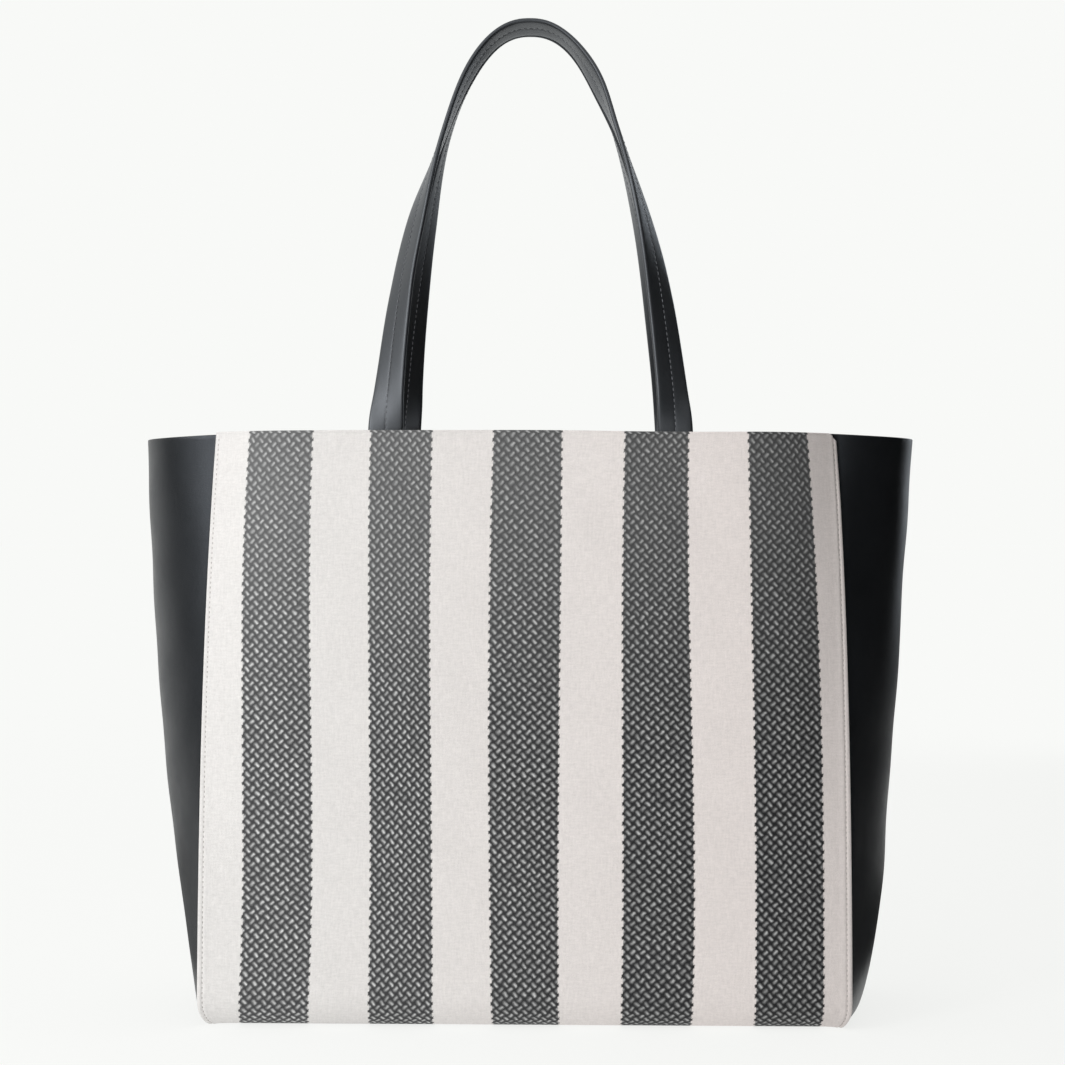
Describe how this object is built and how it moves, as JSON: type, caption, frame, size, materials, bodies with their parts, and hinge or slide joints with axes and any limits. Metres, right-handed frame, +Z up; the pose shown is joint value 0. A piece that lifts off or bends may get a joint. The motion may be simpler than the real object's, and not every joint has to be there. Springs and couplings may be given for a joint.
{
  "type": "tote bag",
  "caption": "Open-top carry bag: striped canvas front and back, swelling leather gussets, flat leather base, and long twisted leather handles that hinge at the rim.",
  "frame": {"origin": "middle of the base's underside, on the floor", "axes": "+Z up, +X to the right as the front is faced, +Y towards the back"},
  "size_m": [0.4634, 0.1598, 0.5955],
  "materials": {
    "canvas": "plain-woven cotton canvas with wide charcoal stripes woven in",
    "leather": "smooth semi-matt",
    "strap_leather": "smooth semi-matt, stitched along the middle",
    "strap_tape": "woven tape",
    "lining": "plain-woven natural cotton",
    "board": "pressed fibreboard"
  },
  "bodies": {
    "bag": {"front_canvas": "canvas", "back_canvas": "canvas", "base_panel": "leather", "left_gusset": "leather", "right_gusset": "leather", "base_board": "board", "front_facing": "leather", "back_facing": "leather", "left_rim_facing": "leather", "right_rim_facing": "leather", "lining_front": "lining", "lining_back": "lining", "lining_left": "lining", "lining_right": "lining", "lining_base": "lining", "inner_pocket": "lining", "front_left_tab": "strap_leather", "front_right_tab": "strap_leather", "back_left_tab": "strap_leather", "back_right_tab": "strap_leather"},
    "front_handle": {"front_strap_outer": "strap_leather", "front_strap_core": "strap_tape", "front_strap_inner": "strap_leather"},
    "back_handle": {"back_strap_outer": "strap_leather", "back_strap_core": "strap_tape", "back_strap_inner": "strap_leather"}
  },
  "joints": [
    {"name": "front_handle_fold", "type": "hinge", "parent": "bag", "child": "front_handle", "pos_m": [0, -0.07655, 0.345], "axis": [1, 0, 0], "range_deg": [0, 178]},
    {"name": "back_handle_fold", "type": "hinge", "parent": "bag", "child": "back_handle", "pos_m": [0, 0.07655, 0.345], "axis": [-1, 0, 0], "range_deg": [0, 178]}
  ]
}
